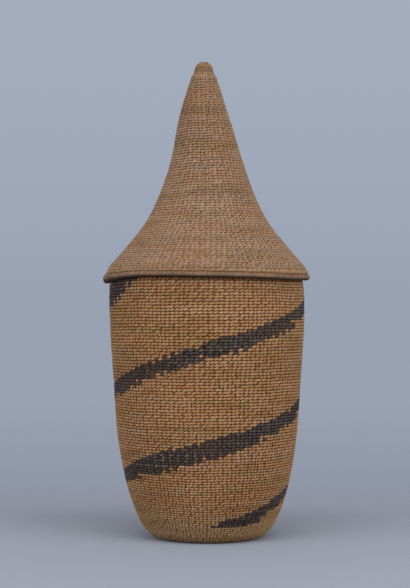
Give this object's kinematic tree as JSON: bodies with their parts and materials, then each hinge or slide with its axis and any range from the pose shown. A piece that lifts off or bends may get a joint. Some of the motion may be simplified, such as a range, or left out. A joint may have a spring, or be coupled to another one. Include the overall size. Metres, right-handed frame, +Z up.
{
  "type": "lidded basket",
  "caption": "Tall round twined basket with dark spiral bands, a wrapped mouth, and a flared conical lid that lifts straight off.",
  "frame": {"origin": "middle of the standing face, on the surface that the basket stands on", "axes": "+Z up through the lid, -Y towards the front, +X to the right seen from the front"},
  "size_m": [0.1242, 0.1242, 0.2853],
  "materials": {
    "plain_weft": "matte",
    "lid_weft": "matte",
    "dark_weft": "matte",
    "stake_fibre": "matte",
    "binding_strip": "matte",
    "hoop_wood": "matte"
  },
  "bodies": {
    "basket": {"base_start": "stake_fibre", "base_disc": "plain_weft", "base_turn_row": "plain_weft", "wall_weave": "plain_weft", "dark_spiral_front": "dark_weft", "dark_spiral_back": "dark_weft", "mouth_hoop": "hoop_wood", "mouth_binding": "binding_strip"},
    "lid": {"lid_weave": "lid_weft", "lid_hoop": "hoop_wood", "lid_binding": "binding_strip", "lid_tip_knot": "stake_fibre", "lid_tip_lashing": "binding_strip"}
  },
  "joints": [
    {"name": "lid_lift", "type": "slide", "parent": "basket", "child": "lid", "axis": [0, 0, 1], "range_m": [0, 0.16]}
  ]
}
